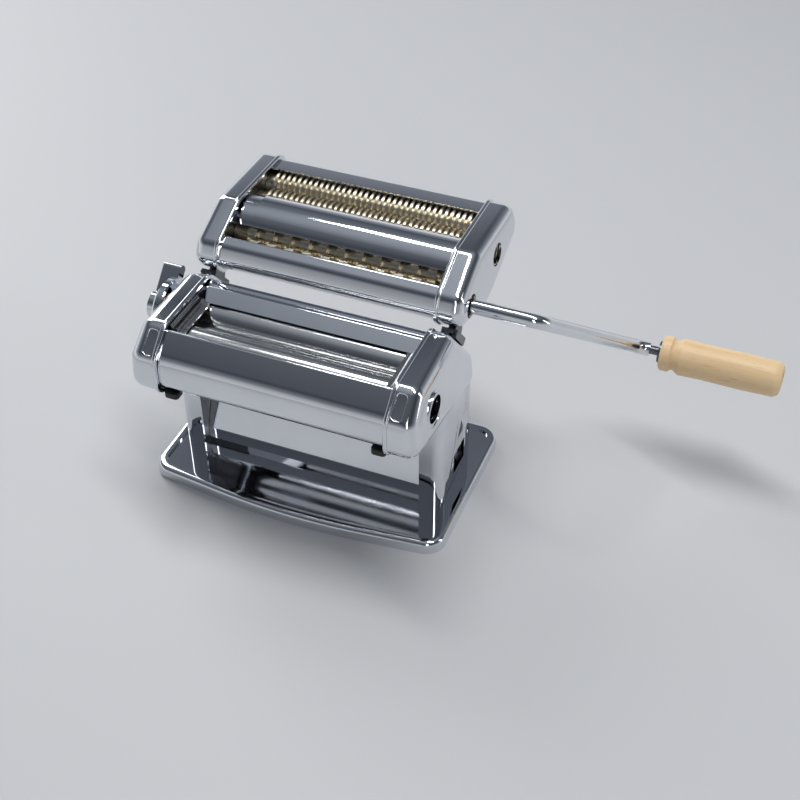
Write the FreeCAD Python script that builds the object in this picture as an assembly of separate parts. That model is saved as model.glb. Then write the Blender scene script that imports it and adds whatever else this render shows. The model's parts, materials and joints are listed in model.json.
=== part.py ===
import FreeCAD, Part
import math
import os

# Hand-cranked pasta roller with its cutter unit mounted behind it and the crank in the wide cutter.
# Millimetres. X runs along the rollers towards the crank, Y to the back, Z up.
# The origin is on the counter, under the middle of the two columns.

# Fits
RUN_FIT = 0.05              # radial clearance of a shaft in its bush
CLEAR = 0.3                 # clearance between sliding or neighbouring pieces

# Smooth rollers
ROLLER_R = 14.25
ROLLER_HALF = 75.0          # half the width of the rolled sheet
ROLLER_GAP = 2.2            # thickest sheet
GAP_TRAVEL = 2.0            # how far the idler closes on the drive roller
DRIVE_Y = -48.0
ROLLER_Z = 117.4
DRIVE_JOURNAL_R = 7.0
IDLER_JOURNAL_R = 5.0

# Drive sockets in the roller ends and the crank that fits them
SOCKET_R = 4.9
SOCKET_DEPTH = 20.0
SOCKET_SLOT = 3.0
SOCKET_SLOT_DEPTH = 7.0
CRANK_FIT = 0.1

# Gears
ROLLER_TEETH = 16
CUTTER_TEETH = 19
GEAR_WIDTH = 7.0
GEAR_BACKLASH = 0.3
PRESSURE_ANGLE = math.radians(20.0)

# Side frames and side casings
CHEEK_GAP = 1.0
CHEEK_THICK = 6.0
FRAME_THICK = 2.5
CASING_RIM = 4.3            # how far a casing reaches inwards past its frame plate
COLUMN_LAP = 0.3
HEAD_DEPTH = 23.0
FACE_LEAN = 2.5             # the head's outer face runs back to the column's
FACE_DRAFT = 3.5            # the head narrows towards its top
RIM_PROUD = 1.2             # bead along a casing's inner edge
RIM_WIDTH = 3.0
COLUMN_INSET = 0.4
CASING_WALL = 1.6
EDGE_ROUND = 9.0
CORNER_ROUND = 11.0
COLUMN_ROUND = 8.0
FRONT_REACH = 34.0          # drive axis to the front lip
LIP_ABOVE = 8.6
HEAD_ABOVE = 25.6
HEAD_BELOW = 18.4
TOP_FRONT_REACH = 15.5
TOP_REAR_REACH = 13.3
BEVEL_BELOW = 13.4
CREASE_DROP = 20.0
COLUMN_FRONT = -31.0
COLUMN_REAR = 29.5
DRIVE_HOLE_R = 9.5
HOLE_RING = 2.5
RING_PROUD = 0.5
PANEL_SIZE = (8.0, 18.0)
PANEL_DEPTH = 1.0
PANEL_ROUND = 3.0
CLAMP_SLOT = (20.0, 17.0)
CLAMP_SLOT_Z = 33.5
CLAMP_SLOT_Y = 3.0

# Base tray
TRAY_HALF = 108.5
TRAY_REAR = 65.5
TRAY_CORNER_Y = -61.0
TRAY_BOW = 12.0
TRAY_BOW_R = 480.0
TRAY_CORNER_R = 14.0
TRAY_TOP = 8.0
TRAY_BEAD = 1.4
TRAY_BEAD_WIDTH = 6.5
TRAY_WALL = 1.6
TRAY_HEM = 5.0
TRAY_EDGE_ROUND = 3.5
FOOT_FLANGE = 10.0
SCREW_R = 2.4
SCREW_HEAD_R = 4.5
SCREW_HEAD_HEIGHT = 2.8
SCREW_SPREAD_Y = 18.0

# Sheet-metal covers
COVER_THICK = 1.2
COVER_FOLD = 7.0
COVER_BEND = 16.0
LEDGE_DROP = 2.0
LEDGE_DEPTH = 8.3
CHUTE_LIP_Y = -22.5
CHUTE_LIP_Z = 21.0
CHUTE_HEM = 9.0
SCRAPER_THICK = 0.8
SCRAPER_GAP = 0.5
GUIDE_THICK = 1.2
GUIDE_REACH = 5.0
CLIP_SIZE = (10.0, 9.0, 4.5)
CLIP_ROUND = 2.5

# Tie rods
TIE_R = 4.0
TIE_END_R = 2.5
NUT_FLATS = 8.0
NUT_THICK = 3.5

# Thickness adjuster
CAM_R = 5.0
CAM_LENGTH = 3.7
CAM_PLAY = 0.4
CAM_SWEEP = math.radians(150.0)
BLOCK_WIDTH = 17.4
BLOCK_REACH = 8.2
STEM_R = 4.0
KNOB_R = 21.0
KNOB_THICK = 8.0
KNOB_GAP = 1.0
KNOB_HUB_R = 9.5
GRIP_REACH = 30.0
GRIP_BACK = 15.0
GRIP_WIDTH = 9.0
GRIP_HEIGHT = 8.0
GRIP_ROUND = 3.0
GRIP_ANGLE = 45.0
KNOB_WALL = 2.0
KNOB_PULL = 5.0

# Cutter unit, drawn level about its own middle and then tilted
CUTTER_Y = 48.5
CUTTER_Z = 150.0
CUTTER_TILT = 9.5
CUTTER_PAIR = 25.0          # middle of the unit to each driven cutter
CUTTER_SPACING = 19.0
CUTTER_RIM = 3.0
CUTTER_HEAD_DEPTH = 20.5
CUTTER_DRAFT = 2.0
CUTTER_EDGE_ROUND = 8.0
CUTTER_HOLE_R = 8.0
CUTTER_FRAME_THICK = 2.2
CUTTER_HALF = ROLLER_HALF
CUTTER_END_GAP = 5.0
DISC_R = 11.0
GROOVE_R = 7.6
WIDE_PITCH = 13.0
FINE_PITCH = 4.2
DISC_PLAY = 0.2
CUTTER_JOURNAL_R = 5.0
COLLAR_R = 9.0
COMB_ANGLE = 75.0
COMB_BAR = (6.0, 2.5)
COMB_TOOTH = 2.0
BRIDGE_LEFT_STEP = 15.0
CUTTER_TIE_R = 2.5

# Rails that carry the cutter unit on the rear bevel
RAIL_NECK = (3.0, 2.0)
RAIL_HEAD = (7.0, 1.8)
RAIL_START = 10.0
RAIL_LENGTH = 32.0
RAIL_STOP = 3.0
SHOE_WALL = 1.6
SHOE_LENGTH = 24.0

# Crank
CRANK_RUN = 44.0            # cutter casing to the first bend
CRANK_OFFSET = 95.0
CRANK_RISE = 52.0
CRANK_ANGLE = -38.8
CRANK_BEND = 12.0
CRANK_END = 8.0
CROSS_PIN_R = 1.3
HANDLE_LENGTH = 82.0
HANDLE_R = 12.6
HANDLE_COLLAR_R = 12.2
HANDLE_NECK_R = 10.4
HANDLE_PIN_R = 3.0
HANDLE_GAP = 8.0

# Places that follow from the sizes above
IDLER_Y = DRIVE_Y + 2 * ROLLER_R + ROLLER_GAP
FRAME_IN = ROLLER_HALF + CHEEK_GAP + CHEEK_THICK + CLEAR
FRAME_OUT = FRAME_IN + FRAME_THICK
CASING_IN = FRAME_IN - CASING_RIM
COLUMN_IN = FRAME_IN - COLUMN_LAP
HEAD_OUT = CASING_IN + HEAD_DEPTH
COLUMN_OUT = HEAD_OUT - FACE_LEAN - COLUMN_INSET
LIP_Y = DRIVE_Y - FRONT_REACH
LIP_TOP = ROLLER_Z + LIP_ABOVE
HEAD_TOP = ROLLER_Z + HEAD_ABOVE
HEAD_LOW = ROLLER_Z - HEAD_BELOW
BEVEL_LOW = ROLLER_Z - BEVEL_BELOW
TOP_FRONT_Y = DRIVE_Y - TOP_FRONT_REACH
TOP_REAR_Y = IDLER_Y + TOP_REAR_REACH
CAM_THROW = GAP_TRAVEL / (1 - math.cos(CAM_SWEEP))
CAM_END = FRAME_OUT + BLOCK_REACH
FRAME_SHIFT = CASING_WALL + CLEAR
CUTTER_FRAME_IN = CUTTER_HALF + CUTTER_END_GAP
CUTTER_FRAME_OUT = CUTTER_FRAME_IN + CUTTER_FRAME_THICK
CUTTER_CASING_IN = CUTTER_FRAME_IN - CUTTER_RIM
CUTTER_OUT = CUTTER_CASING_IN + CUTTER_HEAD_DEPTH
CRANK_R = SOCKET_R - CRANK_FIT
BEVEL_ANGLE = math.atan2(HEAD_TOP - BEVEL_LOW, COLUMN_REAR - TOP_REAR_Y)

AXIS_X = FreeCAD.Vector(1, 0, 0)
AXIS_Y = FreeCAD.Vector(0, 1, 0)
AXIS_Z = FreeCAD.Vector(0, 0, 1)
ORIGIN = FreeCAD.Vector(0, 0, 0)
SIDE = (AXIS_Y, AXIS_Z, AXIS_X)
TOP = (AXIS_X, AXIS_Y, AXIS_Z)
FRONT = (AXIS_X, AXIS_Z, AXIS_Y)


# Drawing helpers

def rounded_wire(corners, closed):
    """Wire through (point, radius) corners, each rounded by an arc no longer than its sides allow."""
    count = len(corners)
    trims = []
    for index, (here, radius) in enumerate(corners):
        if radius <= 0 or not (closed or 0 < index < count - 1):
            trims.append((here, None, here))
            continue
        to_last = corners[index - 1][0] - here
        to_next = corners[(index + 1) % count][0] - here
        sides = ((to_last.Length, corners[index - 1][1]), (to_next.Length, corners[(index + 1) % count][1]))
        limit = min(length * (0.49 if other > 0 else 0.98) for length, other in sides)
        to_last.normalize()
        to_next.normalize()
        half = to_last.getAngle(to_next) / 2
        reach = min(radius / math.tan(half), limit)
        fitted = reach * math.tan(half)
        inward = to_last + to_next
        inward.normalize()
        middle = here + inward * (fitted / math.sin(half) - fitted)
        trims.append((here + to_last * reach, middle, here + to_next * reach))
    edges = []
    for index, (first, middle, last) in enumerate(trims):
        if middle is not None:
            edges.append(Part.Arc(first, middle, last).toShape())
        if closed or index < count - 1:
            following = trims[(index + 1) % count][0]
            if (following - last).Length > 1e-6:
                edges.append(Part.LineSegment(last, following).toShape())
    return Part.Wire(edges)


def prism(points, start, stop, plane=SIDE):
    """Closed outline of (a, b, radius) corners in a plane, drawn out along the plane's normal."""
    across, along, normal = plane
    corners = [(across * a + along * b + normal * start, radius) for a, b, radius in points]
    face = Part.Face(rounded_wire(corners, True))
    return face.extrude(normal * (stop - start))


def shifted(points, distance, closed):
    """The path moved to its left by a distance. Inner corners tighten and outer ones open."""
    count = len(points)
    moved = []
    for index, (a, b, radius) in enumerate(points):
        before = points[index - 1] if closed or index > 0 else None
        after = points[(index + 1) % count] if closed or index < count - 1 else None
        normals = []
        for first, second in ((before, points[index]), (points[index], after)):
            if first is None or second is None:
                continue
            length = math.hypot(second[0] - first[0], second[1] - first[1])
            normals.append(((first[1] - second[1]) / length, (second[0] - first[0]) / length))
        start, end = normals[0], normals[-1]
        share = distance / (1 + start[0] * end[0] + start[1] * end[1])
        turn = start[0] * end[1] - start[1] * end[0]
        new_radius = 0
        if radius > 0:
            new_radius = max(radius - distance, 0.2) if turn > 0 else radius + distance
        moved.append((a + (start[0] + end[0]) * share, b + (start[1] + end[1]) * share, new_radius))
    return moved


def sheet(points, thick, start, stop, plane=SIDE):
    """Folded sheet metal: an open path thickened to its left and drawn out."""
    inner = shifted(points, thick, False)
    return prism(points + inner[::-1], start, stop, plane)


def turned(profile, y, z):
    """Solid of revolution about an axis along X at (y, z), from (x, radius) steps."""
    points = [FreeCAD.Vector(profile[0][0], 0, 0)]
    points += [FreeCAD.Vector(x, radius, 0) for x, radius in profile]
    points.append(FreeCAD.Vector(profile[-1][0], 0, 0))
    points.append(points[0])
    solid = Part.Face(Part.makePolygon(points)).revolve(ORIGIN, AXIS_X, 360)
    solid.translate(FreeCAD.Vector(0, y, z))
    return solid


def rod(start, stop, radius, y, z):
    """Round bar along X."""
    return Part.makeCylinder(radius, stop - start, FreeCAD.Vector(start, y, z), AXIS_X)


def tube(start, stop, outer, inner, y, z):
    """Round tube along X."""
    return rod(start, stop, outer, y, z).cut(rod(start, stop, inner, y, z))


def flanged_bush(start, stop, outer, inner, flange_r, flange, y, z):
    """Bush with a flange at its first end."""
    body = rod(start, stop, outer, y, z).fuse(rod(start, start + flange, flange_r, y, z))
    return body.cut(rod(start, stop, inner, y, z)).removeSplitter()


def nut(start, y, z):
    """Hexagon nut for the end of a tie rod."""
    corner = NUT_FLATS / math.sqrt(3)
    points = []
    for step in range(6):
        angle = math.radians(60 * step)
        points.append((y + corner * math.cos(angle), z + corner * math.sin(angle), 0))
    bore = rod(start, start + NUT_THICK, TIE_END_R + RUN_FIT, y, z)
    return prism(points, start, start + NUT_THICK).cut(bore)


def mirrored(shape):
    """The same piece on the other side of the machine."""
    return shape.mirror(ORIGIN, AXIS_X)


def gear(teeth, spacing, start, bore_r, phase, y, z):
    """Involute spur gear for two equal gears that stand a spacing apart."""
    module = spacing / teeth
    pitch_r = spacing / 2
    base_r = pitch_r * math.cos(PRESSURE_ANGLE)
    tip_r = pitch_r + module
    root_r = pitch_r - 1.25 * module
    half_tooth = math.pi / (2 * teeth) - GEAR_BACKLASH / (2 * pitch_r)
    involute_pitch = math.tan(PRESSURE_ANGLE) - PRESSURE_ANGLE
    flank = []
    for radius in (base_r, pitch_r, tip_r):
        roll = math.acos(min(base_r / radius, 1.0))
        flank.append((radius, half_tooth + involute_pitch - (math.tan(roll) - roll)))
    flank.insert(0, (root_r, flank[0][1]))
    points = []
    for tooth in range(teeth):
        middle = 2 * math.pi * (tooth + phase) / teeth
        for radius, angle in flank:
            points.append((y + radius * math.cos(middle - angle), z + radius * math.sin(middle - angle), 0))
        for radius, angle in reversed(flank):
            points.append((y + radius * math.cos(middle + angle), z + radius * math.sin(middle + angle), 0))
    return prism(points, start, start + GEAR_WIDTH).cut(rod(start, start + GEAR_WIDTH, bore_r, y, z))


def with_socket(shape, mouth, y, z):
    """Drive socket: a round bore from the mouth inwards with a slot across it for the crank's pin."""
    bored = shape.cut(rod(mouth - SOCKET_DEPTH, mouth, SOCKET_R, y, z))
    slot = Part.makeBox(SOCKET_SLOT_DEPTH, SOCKET_SLOT, 4 * DRIVE_JOURNAL_R)
    slot.translate(FreeCAD.Vector(mouth - SOCKET_SLOT_DEPTH, y - SOCKET_SLOT / 2, z - 2 * DRIVE_JOURNAL_R))
    return bored.cut(slot)


def rounded_block(points, start, face, radius):
    """Block with a side outline, cut off by an outer face, that face's edges rounded.

    The face is its place at a corner (y, z) and its fall per millimetre along Y and along Z.
    """
    place, (y, z), (lean, draft) = face
    size = 2 * (max(point[1] for point in points) + abs(z))
    out = FreeCAD.Vector(1, lean, draft)
    out.normalize()
    corner = FreeCAD.Vector(place, y, z)
    plate = Part.makePlane(2 * size, 2 * size, corner, out)
    waste = plate.translated(corner - plate.CenterOfMass).extrude(out * size)
    block = prism(points, start, place + size / 10).cut(waste)
    picked = []
    for edge in block.Edges:
        if all(abs((vertex.Point - corner).dot(out)) < 1e-4 for vertex in edge.Vertexes):
            picked.append(edge)
    return block.makeFillet(radius, picked)


def rim(points, start):
    """Rounded bead along the inner edge of a casing with a side outline."""
    stop = start + RIM_WIDTH
    bead = prism(shifted(points, -RIM_PROUD, True), start, stop)
    picked = []
    for edge in bead.Edges:
        ends = [vertex.X for vertex in edge.Vertexes]
        if all(abs(x - start) < 1e-6 for x in ends) or all(abs(x - stop) < 1e-6 for x in ends):
            picked.append(edge)
    return bead.makeFillet(0.9 * RIM_PROUD, picked)


def save(name, *solids):
    """Write one named sub-part, one solid or a group of equal ones."""
    shape = solids[0] if len(solids) == 1 else Part.makeCompound(list(solids))
    shape.exportStep("parts/" + name + ".step")


# Side casings and frames

def crease_z(y):
    """Height of the head's lower edge, which falls towards the back."""
    return HEAD_LOW - CREASE_DROP * (y - LIP_Y) / (COLUMN_REAR - LIP_Y)


def head_outline():
    """Side outline of a casing's head, anticlockwise from the bottom of the front lip."""
    return [
        (LIP_Y, HEAD_LOW, CORNER_ROUND),
        (COLUMN_REAR, crease_z(COLUMN_REAR), CORNER_ROUND),
        (COLUMN_REAR, BEVEL_LOW, CORNER_ROUND),
        (TOP_REAR_Y, HEAD_TOP, CORNER_ROUND),
        (TOP_FRONT_Y, HEAD_TOP, CORNER_ROUND),
        (LIP_Y, LIP_TOP, CORNER_ROUND),
    ]


def column_plan(inset):
    """Plan of a column, its two outer corners rounded, drawn in by an inset on three sides."""
    front = COLUMN_FRONT + inset
    rear = COLUMN_REAR - COLUMN_INSET - inset
    out = COLUMN_OUT - inset
    inner = COLUMN_IN - (1 if inset > 0 else 0)
    corner = COLUMN_ROUND - inset
    return [(inner, front, 0), (out, front, corner), (out, rear, corner), (inner, rear, 0)]


def side_casing():
    """Polished shell of one end: a head over the rollers and a column down to the tray."""
    top = HEAD_LOW
    head = rounded_block(head_outline(), CASING_IN, outer_face(0), EDGE_ROUND)
    head = head.fuse(rim(head_outline(), CASING_IN))
    column = prism(column_plan(0), TRAY_TOP, top, TOP)
    hollow = rounded_block(
        shifted(head_outline(), CASING_WALL, True), CASING_IN - 1, outer_face(CASING_WALL),
        EDGE_ROUND - CASING_WALL)
    shaft = prism(column_plan(CASING_WALL), TRAY_TOP - 1, top, TOP)
    shell = head.fuse(column).cut(hollow).cut(shaft)
    return shell.cut(front_panel()).removeSplitter()


def outer_face(inset):
    """Outer face of a casing's head, drawn in by an inset: it leans to the back and to the top."""
    slopes = (FACE_LEAN / (COLUMN_REAR - LIP_Y), FACE_DRAFT / (HEAD_TOP - HEAD_LOW))
    return (HEAD_OUT - inset, (LIP_Y, HEAD_LOW), slopes)


def front_panel():
    """Shallow rounded recess in the slanted front of a casing."""
    width, length = PANEL_SIZE
    middle_x = CASING_IN + RIM_WIDTH + width / 2 + CLEAR
    outline = []
    for x, y in ((-1, -1), (1, -1), (1, 1), (-1, 1)):
        outline.append((middle_x + x * width / 2, y * length / 2, PANEL_ROUND))
    recess = prism(outline, -PANEL_DEPTH, CASING_WALL, TOP)
    floor = [edge for edge in recess.Edges if edge.BoundBox.ZMax < 1e-6 - PANEL_DEPTH]
    recess = recess.makeFillet(0.95 * PANEL_DEPTH, floor)
    slope = math.degrees(math.atan2(HEAD_TOP - LIP_TOP, TOP_FRONT_Y - LIP_Y))
    recess.rotate(ORIGIN, AXIS_X, slope)
    recess.translate(FreeCAD.Vector(0, (LIP_Y + TOP_FRONT_Y) / 2, (LIP_TOP + HEAD_TOP) / 2))
    return recess


def ringed_hole(shell, hole_r, y, z, face):
    """Round hole through a casing's outer face, with a low ring and a flat seat around it."""
    inside = face - CASING_WALL - RING_PROUD
    outside = face + RING_PROUD
    ring = rod(inside, outside, hole_r + HOLE_RING, y, z)
    seat = rod(outside, outside + HOLE_RING, hole_r + HOLE_RING + CLEAR, y, z)
    hole = rod(inside - 1, outside + 1, hole_r, y, z)
    return shell.fuse(ring).cut(seat).cut(hole).removeSplitter()


def head_face(y):
    """Place of the casing head's outer face at depth y, level with the rollers."""
    place, (front, low), (lean, draft) = outer_face(0)
    return place - lean * (y - front) - draft * (ROLLER_Z - low)


def right_casing():
    """Crank-side casing with the crank hole and the slot for the table clamp."""
    shell = ringed_hole(side_casing(), DRIVE_HOLE_R, DRIVE_Y, ROLLER_Z, head_face(DRIVE_Y))
    width, height = CLAMP_SLOT
    slot = Part.makeBox(4 * CASING_WALL, width, height)
    slot.translate(FreeCAD.Vector(
        COLUMN_OUT - 2 * CASING_WALL, CLAMP_SLOT_Y - width / 2, CLAMP_SLOT_Z - height / 2))
    return shell.cut(slot)


def left_casing():
    """Knob-side casing with the hole for the adjuster's bush."""
    return mirrored(ringed_hole(side_casing(), knob_bush_r(), IDLER_Y, ROLLER_Z, head_face(IDLER_Y)))


def knob_bush_r():
    """Outer radius of the adjuster's bush."""
    return STEM_R + 2 * CASING_WALL


def frame_outline():
    """Outline of a side frame plate, which fits inside its casing and stands on the tray."""
    rear = COLUMN_REAR - COLUMN_INSET
    outline = [
        (LIP_Y, HEAD_LOW, CORNER_ROUND),
        (COLUMN_FRONT, crease_z(COLUMN_FRONT), 0),
        (COLUMN_FRONT, TRAY_TOP - FRAME_SHIFT, 0),
        (rear, TRAY_TOP - FRAME_SHIFT, 0),
        (rear, BEVEL_LOW, CORNER_ROUND),
        (TOP_REAR_Y, HEAD_TOP, CORNER_ROUND),
        (TOP_FRONT_Y, HEAD_TOP, CORNER_ROUND),
        (LIP_Y, LIP_TOP, CORNER_ROUND),
    ]
    return shifted(outline, FRAME_SHIFT, True)


def tie_places():
    """Side places of the three tie rods."""
    return (
        (LIP_Y + 13.0, ROLLER_Z - 7.5),
        (COLUMN_REAR - 13.5, BEVEL_LOW - 5.0),
        (COLUMN_REAR - 24.0, TRAY_TOP + 40.0),
    )


def bush_r(journal_r):
    """Outer radius of a roller's bush."""
    return journal_r + 2.5


def side_frame():
    """Pressed steel plate that carries the rollers, with a foot flange for the tray's screws."""
    plate = prism(frame_outline(), FRAME_IN, FRAME_OUT)
    front = COLUMN_FRONT + FRAME_SHIFT + COLUMN_ROUND
    rear = COLUMN_REAR - FRAME_SHIFT - COLUMN_ROUND
    flange = Part.makeBox(FOOT_FLANGE, rear - front, FRAME_THICK)
    flange.translate(FreeCAD.Vector(FRAME_OUT, front, TRAY_TOP))
    plate = plate.fuse(flange)
    plate = plate.cut(rod(FRAME_IN, FRAME_OUT, bush_r(DRIVE_JOURNAL_R), DRIVE_Y, ROLLER_Z))
    window = Part.makeBox(FRAME_THICK, BLOCK_WIDTH + GAP_TRAVEL + 2 * CLEAR, BLOCK_WIDTH + 2 * CLEAR)
    window.translate(FreeCAD.Vector(
        FRAME_IN, IDLER_Y - BLOCK_WIDTH / 2 - GAP_TRAVEL - CLEAR, ROLLER_Z - BLOCK_WIDTH / 2 - CLEAR))
    plate = plate.cut(window)
    for y, z in tie_places():
        plate = plate.cut(rod(FRAME_IN, FRAME_OUT, TIE_END_R + RUN_FIT, y, z))
    for y in screw_places():
        hole = Part.makeCylinder(SCREW_R + RUN_FIT, FRAME_THICK, FreeCAD.Vector(screw_x(), y, TRAY_TOP))
        plate = plate.cut(hole)
    return plate.removeSplitter()


def screw_x():
    """Distance of the tray's screws from the middle."""
    return FRAME_OUT + FOOT_FLANGE / 2


def screw_places():
    """Depths of the tray's screws on each side."""
    middle = (COLUMN_FRONT + COLUMN_REAR) / 2
    return (middle - SCREW_SPREAD_Y, middle + SCREW_SPREAD_Y)


# Base tray

def tray_plan(inset):
    """Plan of the tray with a bowed front edge, drawn in by an inset."""
    plan = [
        (-TRAY_HALF, TRAY_CORNER_Y, TRAY_CORNER_R),
        (0, TRAY_CORNER_Y - TRAY_BOW, TRAY_BOW_R),
        (TRAY_HALF, TRAY_CORNER_Y, TRAY_CORNER_R),
        (TRAY_HALF, TRAY_REAR, TRAY_CORNER_R),
        (-TRAY_HALF, TRAY_REAR, TRAY_CORNER_R),
    ]
    return shifted(plan, inset, True)


def tray_slab(inset, low, high):
    """Solid of the tray's plan between two heights."""
    return prism(tray_plan(inset), low, high, TOP)


def base_tray():
    """Pressed tray: a rounded bead around a flat deck, hollow below, with a hem turned in at the foot."""
    top = TRAY_TOP + TRAY_BEAD
    tray = tray_slab(0, 0, top)
    upper = [e for e in tray.Edges if all(abs(v.Z - top) < 1e-6 for v in e.Vertexes)]
    tray = tray.makeFillet(TRAY_EDGE_ROUND, upper)
    tray = tray.cut(tray_slab(TRAY_BEAD_WIDTH, TRAY_TOP, top + 1))
    tray = tray.cut(tray_slab(TRAY_WALL, TRAY_WALL, TRAY_TOP - TRAY_WALL))
    tray = tray.cut(tray_slab(TRAY_HEM, -1, TRAY_WALL))
    for side in (-1, 1):
        for y in screw_places():
            place = FreeCAD.Vector(side * screw_x(), y, 0)
            tray = tray.cut(Part.makeCylinder(SCREW_R + RUN_FIT, top, place))
    return tray.removeSplitter()


def base_screws():
    """Four screws from under the tray up into the frames' foot flanges."""
    screws = []
    seat = TRAY_TOP - TRAY_WALL
    for side in (-1, 1):
        for y in screw_places():
            place = FreeCAD.Vector(side * screw_x(), y, seat)
            shank = Part.makeCylinder(SCREW_R, TRAY_WALL + 2 * FRAME_THICK, place)
            head = Part.makeCylinder(SCREW_HEAD_R, SCREW_HEAD_HEIGHT, place, -AXIS_Z)
            screws.append(shank.fuse(head).removeSplitter())
    return screws


# Covers between the casings

def cover_corners():
    """Corners of the space that the covers fill, just inside the casings' rims."""
    return shifted(head_outline(), FRAME_SHIFT, True)


def front_cover():
    """Folded front cover: a turned-down top edge, a slanted face, an upright lip and a curl below."""
    corners = cover_corners()
    top, bend, low = corners[4], corners[5], corners[0]
    path = [
        (top[0] + 3.0, top[1] - COVER_FOLD, 0),
        (top[0], top[1], 2.0),
        (bend[0], bend[1], COVER_BEND),
        (low[0], low[1], CORNER_ROUND),
        (low[0] + CORNER_ROUND, low[1] - 1.0, 0),
    ]
    return sheet(path, COVER_THICK, -FRAME_IN, FRAME_IN)


def rear_cover():
    """Folded rear cover: back skirt, bevel, flat ledge and a slant down to the idler roller."""
    corners = cover_corners()
    low, top = corners[2], corners[3]
    ledge_z = top[1] - LEDGE_DROP
    share = (ledge_z - low[1]) / (top[1] - low[1])
    ledge_y = low[0] + share * (top[0] - low[0])
    path = [
        (low[0], low[1] - COVER_FOLD, 0),
        (low[0], low[1], COVER_FOLD),
        (ledge_y, ledge_z, 2.5),
        (ledge_y - LEDGE_DEPTH, ledge_z, 2.5),
        (IDLER_Y - 3.5, ROLLER_Z + ROLLER_R + COVER_THICK + 2 * CLEAR, 0),
    ]
    return sheet(path, COVER_THICK, -FRAME_IN, FRAME_IN)


def pasta_chute():
    """Curved slide under the rollers that brings the sheet out to the front."""
    path = [
        (IDLER_Y + 11.0, crease_z(IDLER_Y + 11.0) - RIM_PROUD - 2 * CLEAR, 0),
        (IDLER_Y + 8.0, (HEAD_LOW + CHUTE_LIP_Z) / 2, 90.0),
        (CHUTE_LIP_Y, CHUTE_LIP_Z, 5.0),
        (CHUTE_LIP_Y, CHUTE_LIP_Z - CHUTE_HEM, 0),
    ]
    return sheet(path, COVER_THICK, -COLUMN_IN, COLUMN_IN)


def scraper(axis_y, side):
    """Blade that lifts the sheet off one roller, from its foot to just under the roller."""
    reach = 0.25 * ROLLER_R
    tip_z = ROLLER_Z - math.sqrt((ROLLER_R + SCRAPER_GAP) ** 2 - reach ** 2)
    tip = (axis_y + side * reach, tip_z, 0)
    foot = (axis_y + side * (reach + 10.0), tip_z - 2.5, 0)
    path = [tip, foot] if side < 0 else [foot, tip]
    return sheet(path, SCRAPER_THICK, -FRAME_IN, FRAME_IN)


def dough_guides():
    """Sloped guides that steer the sheet onto the rollers at their two ends."""
    over = ROLLER_Z + ROLLER_R + 2 * CLEAR
    path = [
        (FRAME_IN, over + 5.0, 0),
        (ROLLER_HALF + 4.0, over + 5.0, 0.8),
        (ROLLER_HALF + 2.8, over + 2.6, 0.8),
        (ROLLER_HALF - 0.6, over + 2.6, 0.8),
        (ROLLER_HALF - 1.8, over, 0.8),
        (ROLLER_HALF - GUIDE_REACH, over, 0),
    ]
    profile = path + [(x, z + GUIDE_THICK, radius) for x, z, radius in path[::-1]]
    front = TOP_FRONT_Y + 6.5
    rear = IDLER_Y - 3.5 - CLEAR
    guide = prism(profile, front, rear, FRONT)
    return guide, mirrored(guide)


def cover_clips():
    """Two black clips under the ends of the front cover."""
    width, depth, height = CLIP_SIZE
    low = cover_corners()[0]
    middle_x = CASING_IN - CLEAR - width / 2
    middle_y = low[0] + CORNER_ROUND - depth / 2
    outline = []
    for x, y in ((-1, -1), (1, -1), (1, 1), (-1, 1)):
        outline.append((middle_x + x * width / 2, middle_y + y * depth / 2, CLIP_ROUND))
    top = low[1] - 1.0 - CLEAR
    clip = prism(outline, top - height, top, TOP)
    return clip, mirrored(clip)


def tie_rods():
    """Three rods that hold the two side frames apart."""
    ends = FRAME_OUT + NUT_THICK + 0.5
    rods = []
    for y, z in tie_places():
        steps = [(-ends, TIE_END_R), (-FRAME_IN, TIE_END_R), (-FRAME_IN, TIE_R)]
        steps += [(FRAME_IN, TIE_R), (FRAME_IN, TIE_END_R), (ends, TIE_END_R)]
        rods.append(turned(steps, y, z))
    return rods


def tie_nuts():
    """Nuts on both ends of the tie rods."""
    nuts = []
    for y, z in tie_places():
        one = nut(FRAME_OUT, y, z)
        nuts += [one, mirrored(one)]
    return nuts


# Smooth rollers and the thickness adjuster

def gear_start():
    """Inner face of the roller gears, outside the frame plate and its bush."""
    return FRAME_OUT + 2.5


def socket_mouth():
    """End of the drive roller, just past its gear."""
    return gear_start() + GEAR_WIDTH + CLEAR


def drive_roller():
    """Smooth roller turned by the crank, with its drive socket at the crank's end."""
    barrel = turned([
        (-FRAME_OUT - 2.0, DRIVE_JOURNAL_R), (-ROLLER_HALF, DRIVE_JOURNAL_R), (-ROLLER_HALF, ROLLER_R),
        (ROLLER_HALF, ROLLER_R), (ROLLER_HALF, DRIVE_JOURNAL_R), (socket_mouth(), DRIVE_JOURNAL_R),
    ], DRIVE_Y, ROLLER_Z)
    return with_socket(barrel, socket_mouth(), DRIVE_Y, ROLLER_Z)


def idler_roller():
    """Smooth roller that closes on the drive roller."""
    return turned([
        (-FRAME_OUT, IDLER_JOURNAL_R), (-ROLLER_HALF, IDLER_JOURNAL_R), (-ROLLER_HALF, ROLLER_R),
        (ROLLER_HALF, ROLLER_R), (ROLLER_HALF, IDLER_JOURNAL_R),
        (gear_start() + GEAR_WIDTH + 1.0, IDLER_JOURNAL_R),
    ], IDLER_Y, ROLLER_Z)


def closed_spacing():
    """Distance between the roller axes with the rollers closed."""
    return IDLER_Y - DRIVE_Y - GAP_TRAVEL


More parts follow.
